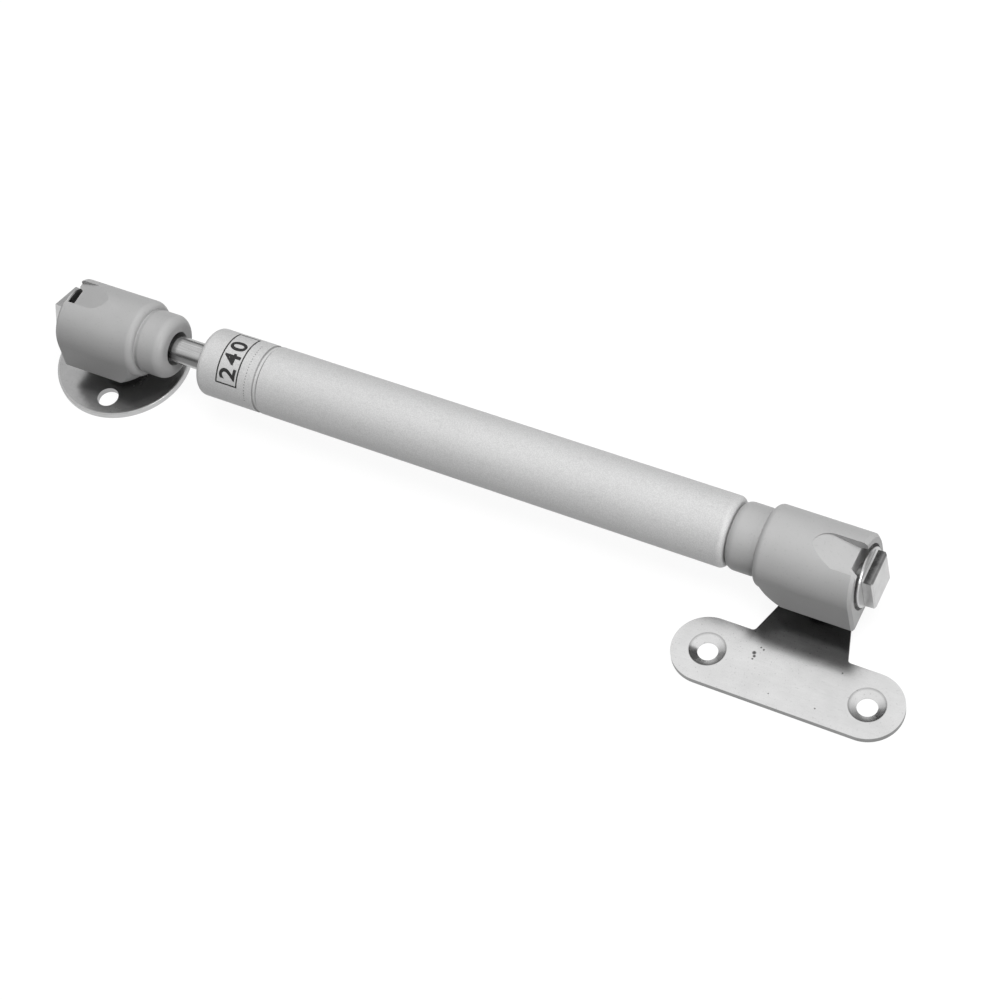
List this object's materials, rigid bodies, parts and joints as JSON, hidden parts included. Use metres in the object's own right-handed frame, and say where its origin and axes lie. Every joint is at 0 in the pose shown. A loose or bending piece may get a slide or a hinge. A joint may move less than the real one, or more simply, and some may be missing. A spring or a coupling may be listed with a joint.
{
  "type": "gas strut",
  "caption": "Gas strut with ball-jointed plastic end fittings, a round screw-on plate at the rod end and a T-shaped screw-on plate at the tube end.",
  "frame": {"origin": "centre of the round plate's hole circle, on the underside that is screwed to the furniture", "axes": "+Z out of the plates towards the strut, +X along the strut from the rod's fitting to the tube's fitting"},
  "size_m": [0.2079, 0.0431, 0.0217],
  "materials": {
    "zinc_plate": "bright zinc plated pressed steel",
    "stud_steel": "turned steel",
    "moulded_grey": "grey moulded plastic",
    "bright_steel": "bright plated steel",
    "rod_steel": "ground steel",
    "inner_steel": "plain steel",
    "inner_plastic": "filled nylon",
    "rubber": "nitrile rubber",
    "silver_paint": "silver painted steel"
  },
  "bodies": {
    "t_plate": {"t_bracket": "zinc_plate"},
    "tube_ball": {"tube_stud": "stud_steel"},
    "barrel": {"tube": "silver_paint", "rod_guide": "inner_plastic", "rod_seal": "rubber", "seal_washer": "inner_steel", "end_plug": "inner_steel", "end_plug_seal": "rubber", "tube_fitting": "moulded_grey", "tube_lock_screw": "bright_steel", "tube_lock_ring": "bright_steel"},
    "piston_ring": {"piston_seal": "rubber"},
    "rod_group": {"rod": "rod_steel", "throttle_washer": "inner_steel", "piston": "inner_plastic", "rod_fitting": "moulded_grey", "rod_lock_screw": "bright_steel", "rod_lock_ring": "bright_steel"},
    "rod_ball": {"rod_stud": "stud_steel"},
    "round_plate": {"disc_bracket": "zinc_plate"}
  },
  "joints": [
    {"name": "tube_end_swivel", "type": "hinge", "parent": "t_plate", "child": "tube_ball", "pos_m": [0.1683, 0, 0.0131], "axis": [0, 0, 1], "continuous": true},
    {"name": "tube_end_tilt", "type": "hinge", "parent": "tube_ball", "child": "barrel", "pos_m": [0.1683, 0, 0.0131], "axis": [0, 1, 0], "range_deg": [-6.5, 12]},
    {"name": "rod_slide", "type": "slide", "parent": "barrel", "child": "piston_ring", "axis": [-1, 0, 0], "range_m": [-0.004, 0.082]},
    {"name": "rod_turn", "type": "hinge", "parent": "piston_ring", "child": "rod_group", "pos_m": [0.13, 0, 0.0131], "axis": [1, 0, 0], "continuous": true},
    {"name": "rod_end_tilt", "type": "hinge", "parent": "rod_group", "child": "rod_ball", "pos_m": [0, 0, 0.0131], "axis": [0, 1, 0], "range_deg": [-12, 12]},
    {"name": "rod_end_swivel", "type": "hinge", "parent": "rod_ball", "child": "round_plate", "pos_m": [0, 0, 0.0131], "axis": [0, 0, 1], "continuous": true}
  ]
}
